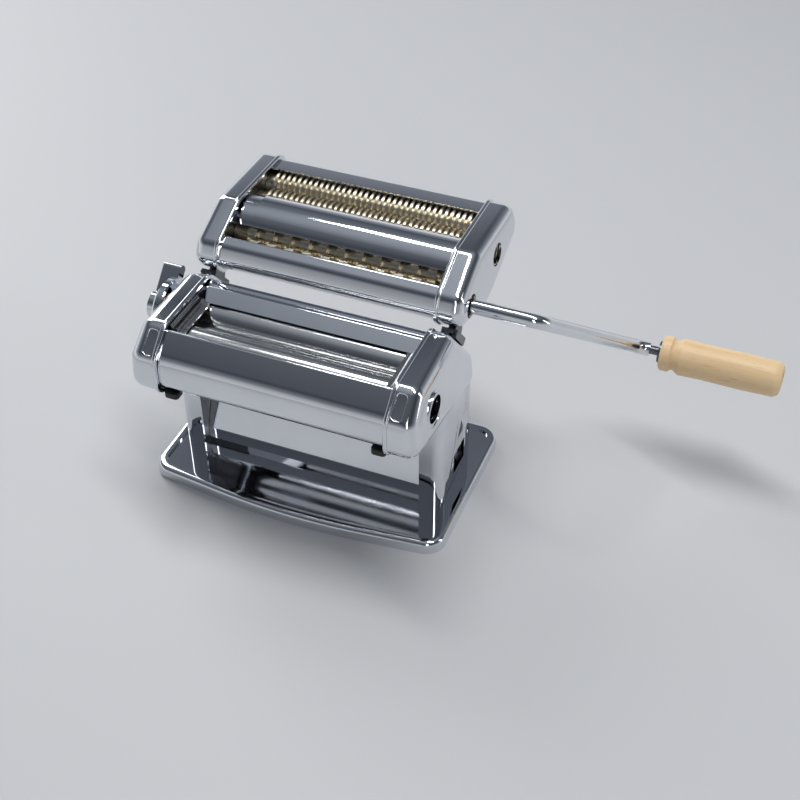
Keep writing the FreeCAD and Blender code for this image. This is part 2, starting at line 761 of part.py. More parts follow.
def drive_bushes():
    """Flanged bushes of the drive roller in the two frame plates."""
    bush = flanged_bush(
        FRAME_IN - 2.0, FRAME_OUT + 1.0, bush_r(DRIVE_JOURNAL_R) - RUN_FIT,
        DRIVE_JOURNAL_R + RUN_FIT, bush_r(DRIVE_JOURNAL_R) + 2.5, 2.0, DRIVE_Y, ROLLER_Z)
    return bush, mirrored(bush)


def idler_block(reach):
    """Sliding block of the idler: a cheek inside the frame plate and a nose through its window."""
    half = BLOCK_WIDTH / 2
    cheek = prism([
        (IDLER_Y - half, ROLLER_Z - half + 1.5, 2.0),
        (yoke_rear(), ROLLER_Z - half + 1.5, 2.0),
        (yoke_rear(), ROLLER_Z + half - 1.5, 4.0),
        (IDLER_Y - half, ROLLER_Z + half - 1.5, 4.0),
    ], ROLLER_HALF + CHEEK_GAP, FRAME_IN - CLEAR)
    nose = Part.makeBox(FRAME_OUT + reach - FRAME_IN + CLEAR, BLOCK_WIDTH, BLOCK_WIDTH)
    nose.translate(FreeCAD.Vector(FRAME_IN - CLEAR, IDLER_Y - half, ROLLER_Z - half))
    block = cheek.fuse(nose)
    bore = rod(ROLLER_HALF, FRAME_OUT + 1.0, IDLER_JOURNAL_R + RUN_FIT, IDLER_Y, ROLLER_Z)
    return block.cut(bore).removeSplitter()


def yoke_rear():
    """Back of the yoke that joins the two sliding blocks behind the idler."""
    return IDLER_Y + ROLLER_R + 8.0


def left_idler_block():
    """Sliding block with the slot that the adjuster's cam turns in."""
    block = idler_block(BLOCK_REACH)
    width = 2 * (CAM_R + CAM_PLAY)
    height = 2 * (CAM_R + CAM_THROW + CAM_PLAY)
    depth = CAM_LENGTH + CAM_PLAY
    slot = Part.makeBox(depth, width, height)
    slot.translate(FreeCAD.Vector(CAM_END - depth, IDLER_Y + CAM_THROW - width / 2, ROLLER_Z - height / 2))
    return mirrored(block.cut(slot))


def right_idler_block():
    """Plain sliding block on the gear side."""
    bore = rod(ROLLER_HALF, FRAME_OUT + BLOCK_REACH, IDLER_JOURNAL_R + RUN_FIT, IDLER_Y, ROLLER_Z)
    return idler_block(1.0).cut(bore)


def idler_yoke():
    """Flat bar that ties the two sliding blocks together behind the idler."""
    half = ROLLER_HALF + CHEEK_GAP
    bar = Part.makeBox(2 * half, 4.0, 11.0)
    bar.translate(FreeCAD.Vector(-half, yoke_rear() - 4.5, ROLLER_Z - 5.5))
    return bar


def stem_end():
    """Outer end of the adjuster's stem."""
    return knob_face() + KNOB_THICK - KNOB_WALL + KNOB_PULL + CLEAR


def knob_face():
    """Inner face of the knob, just off the casing's ring and its bush."""
    return head_face(IDLER_Y) + RING_PROUD + COVER_THICK + KNOB_GAP


def adjuster_cam():
    """Stem of the thickness knob with its eccentric cam."""
    cam = rod(CAM_END - CAM_LENGTH, CAM_END, CAM_R, IDLER_Y + CAM_THROW, ROLLER_Z)
    stem = rod(CAM_END, stem_end(), STEM_R, IDLER_Y, ROLLER_Z)
    return mirrored(cam.fuse(stem).removeSplitter())


def knob_bush():
    """Flanged bush that carries the adjuster's stem in the casing."""
    face = head_face(IDLER_Y) + RING_PROUD
    sleeve = rod(face - CASING_WALL - 2 * RING_PROUD, face, knob_bush_r() - RUN_FIT, IDLER_Y, ROLLER_Z)
    flange = rod(face, face + COVER_THICK, knob_bush_r() + HOLE_RING, IDLER_Y, ROLLER_Z)
    bore = rod(face - 10.0, face + 10.0, STEM_R + RUN_FIT, IDLER_Y, ROLLER_Z)
    return mirrored(sleeve.fuse(flange).cut(bore).removeSplitter())


def thickness_knob():
    """Knob with a bevelled disc and a raised grip that points past its rim."""
    face = knob_face()
    top = face + KNOB_THICK
    disc = turned([
        (face, KNOB_R - 1.0), (face + 1.0, KNOB_R), (top - 3.0, KNOB_R), (top, KNOB_R - 4.0),
    ], IDLER_Y, ROLLER_Z)
    hub = rod(top, top + GRIP_HEIGHT, KNOB_HUB_R, IDLER_Y, ROLLER_Z)
    half = GRIP_WIDTH / 2
    grip = prism([
        (-GRIP_BACK, -half, half), (GRIP_REACH, -half * 0.8, GRIP_ROUND),
        (GRIP_REACH, half * 0.8, GRIP_ROUND), (-GRIP_BACK, half, half),
    ], face + 2.0, top + GRIP_HEIGHT)
    rims = [edge for edge in grip.Edges if edge.BoundBox.XMin > top + GRIP_HEIGHT - 1e-6]
    grip = grip.makeFillet(GRIP_ROUND / 2, rims)
    grip.rotate(ORIGIN, AXIS_X, GRIP_ANGLE)
    grip.translate(FreeCAD.Vector(0, IDLER_Y, ROLLER_Z))
    knob = disc.fuse(hub).fuse(grip)
    knob = knob.cut(rod(face - 1.0, top, STEM_R + RUN_FIT, IDLER_Y, ROLLER_Z))
    knob = knob.cut(rod(top - KNOB_WALL, top + 2 * GRIP_HEIGHT, knob_room_r(), IDLER_Y, ROLLER_Z))
    return mirrored(knob.removeSplitter())


def knob_room_r():
    """Radius of the hollow in the knob that holds the stem's nut."""
    return STEM_R + 2.0 + CLEAR


def knob_nut():
    """Round nut on the stem's end that stops the knob when it is pulled out."""
    end = stem_end()
    outer = knob_room_r() - CLEAR
    return mirrored(rod(end, end + KNOB_WALL, outer, IDLER_Y, ROLLER_Z))


# Cutter unit, in its own level frame

def in_cutter(shape):
    """Tilt a piece of the cutter unit and set it in its place behind the rollers."""
    placed = shape.copy()
    placed.rotate(ORIGIN, AXIS_X, CUTTER_TILT)
    placed.translate(FreeCAD.Vector(0, CUTTER_Y, CUTTER_Z))
    return placed


def cutter_outline():
    """Side outline of the cutter unit, anticlockwise from its low front corner."""
    return [
        (-38.0, -9.0, 10.0),
        (-4.0, -26.0, 14.0),
        (13.0, -26.0, 14.0),
        (64.0, -15.0, 10.0),
        (68.5, -2.0, 10.0),
        (63.0, 12.0, 10.0),
        (-2.0, 24.5, 12.0),
        (-37.0, 15.5, 10.0),
        (-46.0, 3.0, 10.0),
    ]


def cutter_axes():
    """Places of the four cutters: wide front and rear, fine front and rear."""
    return (-CUTTER_PAIR, CUTTER_SPACING - CUTTER_PAIR, CUTTER_PAIR, CUTTER_PAIR + CUTTER_SPACING)


def cutter_casing():
    """Polished end shell of the cutter unit."""
    block = rounded_block(cutter_outline(), CUTTER_CASING_IN, cutter_face(0), CUTTER_EDGE_ROUND)
    hollow = rounded_block(
        shifted(cutter_outline(), CASING_WALL, True), CUTTER_CASING_IN - 1, cutter_face(CASING_WALL),
        CUTTER_EDGE_ROUND - CASING_WALL)
    return block.fuse(rim(cutter_outline(), CUTTER_CASING_IN)).cut(hollow).removeSplitter()


def cutter_face(inset):
    """Outer face of a cutter casing, drawn in by an inset: it leans in towards the top."""
    heights = [point[1] for point in cutter_outline()]
    draft = CUTTER_DRAFT / (max(heights) - min(heights))
    return (CUTTER_OUT - inset, (0, min(heights)), (0, draft))


def right_cutter_casing():
    """Crank-side shell with a crank hole for each pair of cutters."""
    shell = cutter_casing()
    for u in (-CUTTER_PAIR, CUTTER_PAIR):
        shell = shell.cut(rod(cutter_mouth() - CUTTER_DRAFT, CUTTER_OUT + 1, CUTTER_HOLE_R, u, 0))
    return in_cutter(shell)


def cutter_tie_places():
    """Places of the cutter unit's tie rods."""
    return ((9.0, 7.0), (9.0, -15.0), (58.5, -5.0))


def cutter_frame(driven_r):
    """Frame plate of the cutter unit, bored for the bushes and the tie rods."""
    plate = prism(shifted(cutter_outline(), FRAME_SHIFT, True), CUTTER_FRAME_IN, CUTTER_FRAME_OUT)
    for u, radius in zip(cutter_axes(), (driven_r, CUTTER_JOURNAL_R) * 2):
        plate = plate.cut(rod(CUTTER_FRAME_IN, CUTTER_FRAME_OUT, bush_r(radius), u, 0))
    for u, w in cutter_tie_places():
        plate = plate.cut(rod(CUTTER_FRAME_IN, CUTTER_FRAME_OUT, TIE_END_R - 0.5 + RUN_FIT, u, w))
    return plate


def cutter_bush(radius, u):
    """Plain bush of one cutter journal."""
    return tube(CUTTER_FRAME_IN, CUTTER_FRAME_OUT + 1.0, bush_r(radius) - RUN_FIT, radius + RUN_FIT, u, 0)


def cutter_bushes():
    """Bushes of all four cutters at both ends."""
    bushes = []
    for u, radius in zip(cutter_axes(), (DRIVE_JOURNAL_R, CUTTER_JOURNAL_R) * 2):
        bushes.append(in_cutter(cutter_bush(radius, u)))
        bushes.append(in_cutter(mirrored(cutter_bush(CUTTER_JOURNAL_R, u))))
    return bushes


def disc_count(pitch, spare):
    """How many cutting discs fit along a cutter with some length to spare."""
    return int(2 * (CUTTER_HALF - spare) / pitch)


def disc_middles(pitch, count):
    """Middles of a cutter's discs along its length."""
    return [(index - (count - 1) / 2) * pitch for index in range(count)]


def cutter(pitch, count, u, driven):
    """Cutter turned from one bar: discs and grooves between end collars, with its journals."""
    half_disc = pitch / 4 - DISC_PLAY / 2
    right = cutter_mouth() if driven else CUTTER_FRAME_OUT + 1.5
    right_r = DRIVE_JOURNAL_R if driven else CUTTER_JOURNAL_R
    left = -(cutter_gear_start() + GEAR_WIDTH + 1.0)
    collar = CUTTER_FRAME_IN - CLEAR
    steps = [(left, CUTTER_JOURNAL_R), (-collar, CUTTER_JOURNAL_R), (-collar, COLLAR_R - 1.4)]
    steps.append((-CUTTER_HALF, GROOVE_R))
    for middle in disc_middles(pitch, count):
        steps += [(middle - half_disc, GROOVE_R), (middle - half_disc, DISC_R)]
        steps += [(middle + half_disc, DISC_R), (middle + half_disc, GROOVE_R)]
    steps += [(CUTTER_HALF, GROOVE_R), (collar, COLLAR_R - 1.4), (collar, right_r), (right, right_r)]
    bar = turned(steps, u, 0)
    if driven:
        bar = with_socket(bar, right, u, 0)
    return in_cutter(bar)


def cutter_mouth():
    """End of a driven cutter, just inside the casing's crank hole."""
    return CUTTER_OUT - 2 * CASING_WALL


def cutter_gear_start():
    """Inner face of the cutter gears, outside the left frame plate."""
    return CUTTER_FRAME_OUT + 2.0


def cutter_gear(u):
    """Gear on the left end of one cutter."""
    one = gear(CUTTER_TEETH, CUTTER_SPACING, cutter_gear_start(), CUTTER_JOURNAL_R + RUN_FIT, 0, u, 0)
    return in_cutter(mirrored(one))


def comb(pitch, count, u, side):
    """Comb under one cutter, with a tooth in every groove to free the strips."""
    width, thick = COMB_BAR
    half_disc = pitch / 4 - DISC_PLAY / 2
    tooth_half = pitch / 2 - half_disc - CLEAR
    tip = GROOVE_R + CLEAR
    back = DISC_R + 2 * CLEAR
    bar = Part.makeBox(2 * CUTTER_FRAME_IN, width, thick)
    bar.translate(FreeCAD.Vector(-CUTTER_FRAME_IN, -width / 2, -back - thick))
    pieces = []
    middles = disc_middles(pitch, count)
    for first, second in zip(middles, middles[1:]):
        tooth = Part.makeBox(2 * tooth_half, COMB_TOOTH, back - tip)
        tooth.translate(FreeCAD.Vector((first + second) / 2 - tooth_half, -COMB_TOOTH / 2, -back))
        pieces.append(tooth)
    whole = bar.multiFuse(pieces).removeSplitter()
    whole.rotate(ORIGIN, AXIS_X, side * (90.0 - COMB_ANGLE))
    whole.translate(FreeCAD.Vector(0, u, 0))
    return in_cutter(whole)


def cutter_front_cover():
    """Folded front cover of the cutter unit, from the wide slot round to the hem below."""
    corners = shifted(cutter_outline(), FRAME_SHIFT, True)
    upper, front, lower = corners[7], corners[8], corners[0]
    path = [
        (upper[0] + 9.0, upper[1] - 0.5, 0),
        (upper[0] + 7.5, upper[1] + 1.9, 1.5),
        upper,
        front,
        (lower[0] - 1.5, lower[1] + 2.0, 2.5),
        (lower[0] + 1.0, lower[1] + 1.2, 0),
    ]
    return in_cutter(sheet(path, COVER_THICK, -CUTTER_FRAME_IN, CUTTER_FRAME_IN))


def bridge_path():
    """Outer line of the bridge between the two pairs of cutters, from back to front."""
    return [
        (20.0, 13.5, 0),
        (3.25, 31.4, 23.0),
        (-13.5, 14.0, 0),
    ]


def cutter_bridge():
    """Broad convex bridge over the middle, with a stepped-down end at the knob side."""
    step = -CUTTER_FRAME_IN + BRIDGE_LEFT_STEP
    broad = sheet(bridge_path(), COVER_THICK, step, CUTTER_FRAME_IN)
    inner = shifted(bridge_path(), COVER_THICK, False)
    narrow = sheet(inner, COVER_THICK, -CUTTER_FRAME_IN, step + 3.0)
    return in_cutter(broad.fuse(narrow).removeSplitter())


def cutter_rear_cover():
    """Rear bar of the cutter unit, folded over from the back to the fine slot."""
    corners = shifted(cutter_outline(), FRAME_SHIFT, True)
    low, back, top = corners[3], corners[4], corners[5]
    ridge = corners[6]
    front_u = CUTTER_PAIR + CUTTER_SPACING + 3.0
    share = (front_u - top[0]) / (ridge[0] - top[0])
    path = [
        (low[0], low[1] + 3.0, 0),
        (back[0], back[1], 7.0),
        (top[0], top[1], 6.0),
        (front_u, top[1] + share * (ridge[1] - top[1]), 0),
    ]
    return in_cutter(sheet(path, COVER_THICK, -CUTTER_FRAME_IN, CUTTER_FRAME_IN))


def cutter_tie_rods():
    """Rods that hold the cutter unit's frame plates apart."""
    end = CUTTER_FRAME_OUT + 2.0
    rods = []
    for u, w in cutter_tie_places():
        steps = [(-end, TIE_END_R - 0.5), (-CUTTER_FRAME_IN, TIE_END_R - 0.5)]
        steps += [(-CUTTER_FRAME_IN, CUTTER_TIE_R), (CUTTER_FRAME_IN, CUTTER_TIE_R)]
        steps += [(CUTTER_FRAME_IN, TIE_END_R - 0.5), (end, TIE_END_R - 0.5)]
        rods.append(in_cutter(turned(steps, u, w)))
    return rods


# Rails and shoes between the machine and the cutter unit

def on_bevel(shape):
    """Set a piece drawn flat, with Y down the slope, onto the casings' rear bevel."""
    placed = shape.copy()
    placed.rotate(ORIGIN, AXIS_X, -math.degrees(BEVEL_ANGLE))
    placed.translate(FreeCAD.Vector(0, TOP_REAR_Y, HEAD_TOP))
    return placed


def rail_x():
    """Middle of the rails, on the flat of the casing's bevel beside its rim."""
    return CASING_IN + RIM_WIDTH + RAIL_HEAD[0] / 2 + SHOE_WALL + 3 * CLEAR


def cutter_rail():
    """T-shaped rail on a casing's rear bevel, with a stop at its lower end."""
    neck_w, neck_h = RAIL_NECK
    head_w, head_h = RAIL_HEAD
    middle = rail_x()
    end = RAIL_START + RAIL_LENGTH
    tee = prism([
        (middle - neck_w / 2, 0, 0), (middle + neck_w / 2, 0, 0), (middle + neck_w / 2, neck_h, 0),
        (middle + head_w / 2, neck_h, 0), (middle + head_w / 2, neck_h + head_h, 0.5),
        (middle - head_w / 2, neck_h + head_h, 0.5), (middle - head_w / 2, neck_h, 0),
        (middle - neck_w / 2, neck_h, 0),
    ], RAIL_START, end, FRONT)
    stop = Part.makeBox(head_w, RAIL_STOP, neck_h + head_h + SHOE_WALL)
    stop.translate(FreeCAD.Vector(middle - head_w / 2, end - RAIL_STOP, 0))
    return on_bevel(tee.fuse(stop).removeSplitter())


def shoe_top():
    """Height of a shoe's top above the bevel."""
    return RAIL_NECK[1] + RAIL_HEAD[1] + CLEAR + SHOE_WALL


def cutter_shoe():
    """Shoe under a cutter casing that slides over the rail, with the web that carries the casing."""
    neck = RAIL_NECK[0] / 2 + CLEAR
    head = RAIL_HEAD[0] / 2 + CLEAR
    outer = head + SHOE_WALL
    middle = rail_x()
    under = RAIL_NECK[1] - CLEAR
    over = shoe_top() - SHOE_WALL
    right = [
        (neck, CLEAR), (outer, CLEAR), (outer, shoe_top()),
        (-outer, shoe_top()), (-outer, CLEAR), (-neck, CLEAR),
        (-neck, under), (-head, under), (-head, over), (head, over), (head, under), (neck, under),
    ]
    end = RAIL_START + RAIL_LENGTH - RAIL_STOP
    outline = [(middle + x, z, 0) for x, z in right]
    shoe = on_bevel(prism(outline, end - SHOE_LENGTH, end, FRONT))
    return shoe.fuse(shoe_web(end)).removeSplitter()


def shoe_web(end):
    """Web between the shoe and the underside of the cutter casing."""
    down = (math.cos(BEVEL_ANGLE), -math.sin(BEVEL_ANGLE))
    out = (math.sin(BEVEL_ANGLE), math.cos(BEVEL_ANGLE))
    bottom = []
    for along in (end - SHOE_LENGTH + 4.0, end - 2.0):
        bottom.append((
            TOP_REAR_Y + down[0] * along + out[0] * shoe_top(),
            HEAD_TOP + down[1] * along + out[1] * shoe_top(), 0))
    tilt = math.radians(CUTTER_TILT)
    first, second = cutter_outline()[0], cutter_outline()[1]
    top = []
    for share in (0.45, 0.12):
        u = first[0] + share * (second[0] - first[0])
        w = first[1] + share * (second[1] - first[1])
        top.append((
            CUTTER_Y + u * math.cos(tilt) - w * math.sin(tilt),
            CUTTER_Z + u * math.sin(tilt) + w * math.cos(tilt), 0))
    half = RAIL_HEAD[0] / 2 - 1.0
    return prism(bottom + top, rail_x() - half, rail_x() + half)


# Crank

def crank_axis():
    """Side place of the wide cutter's drive axis, where the crank is plugged in."""
    tilt = math.radians(CUTTER_TILT)
    return (CUTTER_Y - CUTTER_PAIR * math.cos(tilt), CUTTER_Z - CUTTER_PAIR * math.sin(tilt))


def crank_points():
    """Centre line of the crank: plug and run, slanted arm, then the handle's end."""
    y, z = crank_axis()
    angle = math.radians(CRANK_ANGLE)
    far_y = y + CRANK_OFFSET * math.cos(angle)
    far_z = z + CRANK_OFFSET * math.sin(angle)
    bend = CUTTER_OUT + CRANK_RUN
    return [
        FreeCAD.Vector(cutter_mouth() - SOCKET_DEPTH + 1.0, y, z),
        FreeCAD.Vector(bend, y, z),
        FreeCAD.Vector(bend + CRANK_RISE, far_y, far_z),
        FreeCAD.Vector(bend + CRANK_RISE + CRANK_END, far_y, far_z),
    ]


def crank_rod():
    """Round bar bent into a crank, with a cross pin that turns the socket."""
    points = crank_points()
    path = rounded_wire(list(zip(points, (0, CRANK_BEND, CRANK_BEND, 0))), False)
    section = Part.Wire(Part.makeCircle(CRANK_R, points[0], AXIS_X))
    bar = path.makePipeShell([section], True, False)
    pin_x = cutter_mouth() - SOCKET_SLOT_DEPTH / 2
    length = 2 * DRIVE_JOURNAL_R - 2.0
    pin = Part.makeCylinder(
        CROSS_PIN_R, length, FreeCAD.Vector(pin_x, points[0].y, points[0].z - length / 2), AXIS_Z)
    pin.rotate(points[0], AXIS_X, CUTTER_TILT)
    return bar.fuse(pin).removeSplitter()


def handle_start():
    """Inner end of the wooden handle."""
    return crank_points()[-1].x + HANDLE_GAP


def handle_pin():
    """Pin on the crank's end that the handle turns on, with a domed head in the handle's end."""
    root = crank_points()[-1]
    end = handle_start() + HANDLE_LENGTH
    return turned([
        (root.x, HANDLE_PIN_R), (end - 3.0, HANDLE_PIN_R), (end - 3.0, HANDLE_PIN_R + 2.0),
        (end - 1.5, HANDLE_PIN_R + 1.6), (end - 0.8, HANDLE_PIN_R),
    ], root.y, root.z)


def handle_washer():
    """Washer between the crank's end and the handle."""
    root = crank_points()[-1]
    return tube(handle_start() - 1.8, handle_start() - CLEAR, HANDLE_NECK_R - 3.0,
                HANDLE_PIN_R + RUN_FIT, root.y, root.z)


def crank_handle():
    """Turned beech handle with a collar, a neck groove and a rounded end."""
    root = crank_points()[-1]
    start = handle_start()
    end = start + HANDLE_LENGTH
    wood = turned([
        (start, HANDLE_COLLAR_R - 1.5), (start + 1.5, HANDLE_COLLAR_R), (start + 6.5, HANDLE_COLLAR_R),
        (start + 8.0, HANDLE_NECK_R), (start + 10.0, HANDLE_NECK_R), (start + 14.0, HANDLE_COLLAR_R + 0.6),
        (start + 0.35 * HANDLE_LENGTH, HANDLE_R - 0.3), (start + 0.7 * HANDLE_LENGTH, HANDLE_R),
        (end - 4.0, HANDLE_R - 0.4), (end - 1.2, HANDLE_R - 2.0), (end, HANDLE_R - 4.5),
    ], root.y, root.z)
    wood = wood.cut(rod(start - 1, end + 1, HANDLE_PIN_R + RUN_FIT, root.y, root.z))
    return wood.cut(rod(end - 3.0 - CLEAR, end + 1, HANDLE_PIN_R + 2.0 + CLEAR, root.y, root.z))


def build_machine():
    """Write the pieces of the roller machine."""
    save("base_tray", base_tray())
    save("base_screws", *base_screws())
    save("right_side_casing", right_casing())
    save("left_side_casing", left_casing())
    frame = side_frame()
    save("right_side_frame", frame)
    save("left_side_frame", mirrored(frame))
    save("front_cover", front_cover())
    save("rear_cover", rear_cover())
    save("pasta_chute", pasta_chute())
    save("front_scraper", scraper(DRIVE_Y, -1))
    save("rear_scraper", scraper(IDLER_Y, 1))
    save("dough_guides", *dough_guides())
    save("cover_clips", *cover_clips())
    save("tie_rods", *tie_rods())
    save("tie_rod_nuts", *tie_nuts())
    save("drive_bushes", *drive_bushes())
    rail = cutter_rail()
    save("right_cutter_rail", rail)
    save("left_cutter_rail", mirrored(rail))


def build_rollers():
    """Write the smooth rollers, their gears and the thickness adjuster."""
    spacing = closed_spacing()
    save("drive_roller", drive_roller())
    save("drive_gear", gear(
        ROLLER_TEETH, spacing, gear_start(), DRIVE_JOURNAL_R + RUN_FIT, 0, DRIVE_Y, ROLLER_Z))
    save("idler_roller", idler_roller())
    save("idler_gear", gear(
        ROLLER_TEETH, spacing, gear_start(), IDLER_JOURNAL_R + RUN_FIT, 0.5, IDLER_Y, ROLLER_Z))
    save("left_idler_block", left_idler_block())
    save("right_idler_block", right_idler_block())
    save("idler_yoke", idler_yoke())
    save("adjuster_cam", adjuster_cam())
    save("knob_bush", knob_bush())
    save("thickness_knob", thickness_knob())
    save("knob_nut", knob_nut())


def build_cutter_unit():
    """Write the pieces of the cutter unit."""
    save("right_cutter_casing", right_cutter_casing())
    save("left_cutter_casing", in_cutter(mirrored(cutter_casing())))
    save("right_cutter_frame", in_cutter(cutter_frame(DRIVE_JOURNAL_R)))
    save("left_cutter_frame", in_cutter(mirrored(cutter_frame(CUTTER_JOURNAL_R))))
    save("cutter_bushes", *cutter_bushes())
    save("cutter_tie_rods", *cutter_tie_rods())
    save("cutter_front_cover", cutter_front_cover())
    save("cutter_bridge", cutter_bridge())
    save("cutter_rear_cover", cutter_rear_cover())
    shoe = cutter_shoe()
    save("cutter_shoes", shoe, mirrored(shoe))
    axes = cutter_axes()
    for index, (name, pitch) in enumerate((("wide", WIDE_PITCH), ("fine", FINE_PITCH))):
        front, rear = axes[2 * index], axes[2 * index + 1]
        rear_count = disc_count(pitch, 0)
        for place, count, u, side in (("front", rear_count - 1, front, 1), ("rear", rear_count, rear, -1)):
            save(name + "_cutter_" + place, cutter(pitch, count, u, place == "front"))
            save(name + "_gear_" + place, cutter_gear(u))
            save(name + "_comb_" + place, comb(pitch, count, u, side))


def build_crank():
    """Write the pieces of the crank."""
    save("crank_rod", crank_rod())
    save("handle_pin", handle_pin())
    save("handle_washer", handle_washer())
    save("crank_handle", crank_handle())


os.makedirs("parts", exist_ok=True)
build_machine()
build_rollers()
build_cutter_unit()
build_crank()
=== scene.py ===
import json
import logging
import math
from dataclasses import dataclass, field
from enum import Enum
from typing import Any

import bmesh
import bpy
from mathutils import Matrix, Vector


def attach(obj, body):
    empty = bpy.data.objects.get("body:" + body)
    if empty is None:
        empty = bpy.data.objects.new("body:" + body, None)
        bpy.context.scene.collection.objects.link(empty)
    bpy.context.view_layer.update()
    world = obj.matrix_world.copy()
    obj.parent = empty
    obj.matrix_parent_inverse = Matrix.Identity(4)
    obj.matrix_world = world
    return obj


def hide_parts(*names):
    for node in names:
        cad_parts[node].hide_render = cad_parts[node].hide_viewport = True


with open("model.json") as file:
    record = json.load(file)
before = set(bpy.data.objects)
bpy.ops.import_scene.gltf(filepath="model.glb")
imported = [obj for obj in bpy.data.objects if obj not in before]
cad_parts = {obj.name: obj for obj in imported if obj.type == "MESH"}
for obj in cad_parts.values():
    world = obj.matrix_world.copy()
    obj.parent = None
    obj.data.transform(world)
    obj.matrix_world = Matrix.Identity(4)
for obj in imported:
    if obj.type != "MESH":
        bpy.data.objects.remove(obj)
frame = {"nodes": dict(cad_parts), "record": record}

LOG = logging.getLogger("pasta_machine")
MM = 0.001
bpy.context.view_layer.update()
BODY_OF = {
    node: body
    for body, nodes in frame["record"]["behaviour"]["bodies"].items()
    for node in nodes
}

# Corners of a node's loose triangles closer than this are one corner
WELD_MM = 0.002
# Faces that meet flatter than this are one face before its edges are softened
FLAT_DEG = 0.4
# Edges that meet more sharply than this stay crisp or are softened
CREASE_DEG = 32.0
SOFT_SEGMENTS = 2
PRESSED_EDGE_MM = 0.55
CLIP_EDGE_MM = 0.5
KNOB_EDGE_MM = 0.6


class Slot(Enum):
    """Material slots of the record."""

    POLISHED = "polished_steel"
    ROLLER = "roller_steel"
    FRAME = "frame_steel"
    BRONZE = "bronze"
    BRASS = "cutter_brass"
    PLASTIC = "black_plastic"
    BEECH = "beech"


def linear(code: str) -> tuple[float, float, float, float]:
    """Turn an sRGB hex colour into linear light.

    Args:
        code: Colour as "#rrggbb".

    Returns:
        Linear red, green and blue with an alpha of 1.
    """
    channels = [int(code[start:start + 2], 16) / 255 for start in (1, 3, 5)]
    light = [c / 12.92 if c <= 0.04045 else ((c + 0.055) / 1.055) ** 2.4 for c in channels]
    return (light[0], light[1], light[2], 1.0)


def add_node(tree: bpy.types.NodeTree, kind: str, settings: dict[str | int, Any] | None = None,
             links: dict[str | int, Any] | None = None, **attributes: Any) -> bpy.types.Node:
    """Add a shader node, set its sockets and link its inputs.

    Args:
        tree: Node tree to add to.
        kind: Blender's name of the node type.
        settings: Socket names and the values they are set to.
        links: Socket names and the output sockets that feed them.
        attributes: Properties of the node itself.

    Returns:
        The new node.
    """
    node = tree.nodes.new(kind)
    for name, value in attributes.items():
        setattr(node, name, value)
    for name, value in (settings or {}).items():
        node.inputs[name].default_value = value
    for name, output in (links or {}).items():
        tree.links.new(output, node.inputs[name])
    return node


def new_material(name: str) -> tuple[bpy.types.Material, bpy.types.NodeTree, bpy.types.Node]:
    """Start a node material.

    Args:
        name: Name of the material.

    Returns:
        The material, its node tree and its shader.
    """
    material = bpy.data.materials.new(name)
    material.use_nodes = True
    tree = material.node_tree
    return material, tree, tree.nodes["Principled BSDF"]


@dataclass(frozen=True)
class Metal:
    """Bare or plated metal with faint wiping marks in its gloss.

    A polished plate mirrors the room, ground steel blurs it, and the marks break the
    mirror up a little, as handled kitchen steel does.
    """

    name: str
    colour: str
    tint: str
    gloss: float
    haze: float
    mark_mm: float
    grain: tuple[float, float, float] = (1.0, 1.0, 1.0)
    bump_mm: float = 0.0
    bump_strength: float = 0.25
    mark_detail: float = 5.0
    mark_roughness: float = 0.6
    mark_span: tuple[float, float] = (0.35, 0.75)

    def build(self) -> bpy.types.Material:
        """Make the material.

        Returns:
            A node material with the finish's colour and gloss.
        """
        material, tree, shader = new_material(self.name)
        shader.inputs["Metallic"].default_value = 1.0
        place = add_node(tree, "ShaderNodeTexCoord")
        stretch = add_node(tree, "ShaderNodeMapping", {"Scale": self.grain},
                           {"Vector": place.outputs["Object"]})
        marks = add_node(
            tree, "ShaderNodeTexNoise",
            {"Scale": 1 / (self.mark_mm * MM), "Detail": self.mark_detail,
             "Roughness": self.mark_roughness},
            {"Vector": stretch.outputs["Vector"]})
        least, most = self.mark_span
        spread = add_node(
            tree, "ShaderNodeMapRange",
            {"From Min": least, "From Max": most, "To Min": self.gloss, "To Max": self.haze},
            {"Value": marks.outputs["Fac"]})
        tree.links.new(spread.outputs["Result"], shader.inputs["Roughness"])
        tone = add_node(tree, "ShaderNodeMix", {"A": linear(self.colour), "B": linear(self.tint)},
                        {"Factor": marks.outputs["Fac"]}, data_type="RGBA")
        tree.links.new(tone.outputs["Result"], shader.inputs["Base Color"])
        if self.bump_mm > 0:
            dent = add_node(tree, "ShaderNodeBump",
                            {"Strength": self.bump_strength, "Distance": self.bump_mm * MM},
                            {"Height": marks.outputs["Fac"]})
            tree.links.new(dent.outputs["Normal"], shader.inputs["Normal"])
        return material


@dataclass(frozen=True)
class Plastic:
    """Moulded plastic with a fine spark-eroded skin."""

    name: str
    colour: str
    gloss: float
    haze: float
    grain_mm: float
    grain_detail: float = 3.0
    bump_mm: float = 0.05
    bump_strength: float = 0.3

    def build(self) -> bpy.types.Material:
        """Make the material.

        Returns:
            A node material with an uneven gloss and a fine grain.
        """
        material, tree, shader = new_material(self.name)
        shader.inputs["Base Color"].default_value = linear(self.colour)
        place = add_node(tree, "ShaderNodeTexCoord")
        grain = add_node(tree, "ShaderNodeTexNoise",
                         {"Scale": 1 / (self.grain_mm * MM), "Detail": self.grain_detail},
                         {"Vector": place.outputs["Object"]})
        spread = add_node(tree, "ShaderNodeMapRange", {"To Min": self.gloss, "To Max": self.haze},
                          {"Value": grain.outputs["Fac"]})
        tree.links.new(spread.outputs["Result"], shader.inputs["Roughness"])
        dent = add_node(tree, "ShaderNodeBump",
                        {"Strength": self.bump_strength, "Distance": self.bump_mm * MM},
                        {"Height": grain.outputs["Fac"]})
        tree.links.new(dent.outputs["Normal"], shader.inputs["Normal"])
        return material


